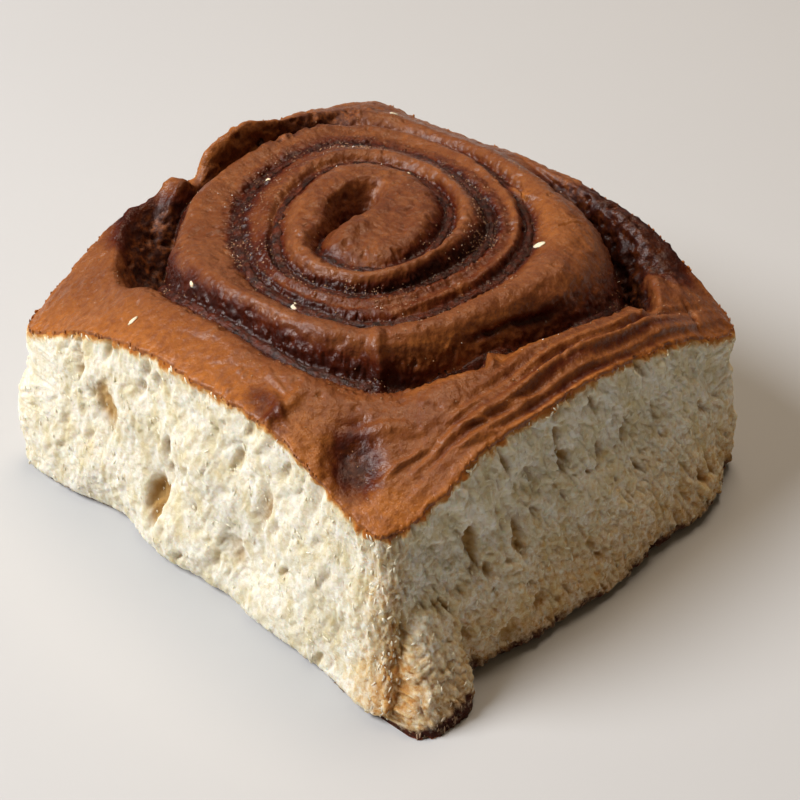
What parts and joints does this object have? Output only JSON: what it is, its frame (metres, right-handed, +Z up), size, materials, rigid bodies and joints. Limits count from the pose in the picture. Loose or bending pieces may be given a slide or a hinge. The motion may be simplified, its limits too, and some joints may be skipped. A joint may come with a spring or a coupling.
{
  "type": "cinnamon roll",
  "caption": "Square pull-apart cinnamon roll with a coiled, glossy browned top, soft torn crumb sides and a spiral sheet of cinnamon filling.",
  "frame": {"origin": "middle of the bounding box at the level of the flat base", "axes": "+Z up from the base to the coiled top; the front corner with the torn foot points towards -X -Y"},
  "size_m": [0.0962, 0.105, 0.0513],
  "materials": {
    "dough": "soft torn crumb under a thin browned and egg-washed crust",
    "cinnamon_filling": "dark baked cinnamon sugar, sticky and slightly grainy"
  },
  "bodies": {
    "root": {"dough": "dough", "cinnamon_filling": "cinnamon_filling"}
  },
  "joints": []
}
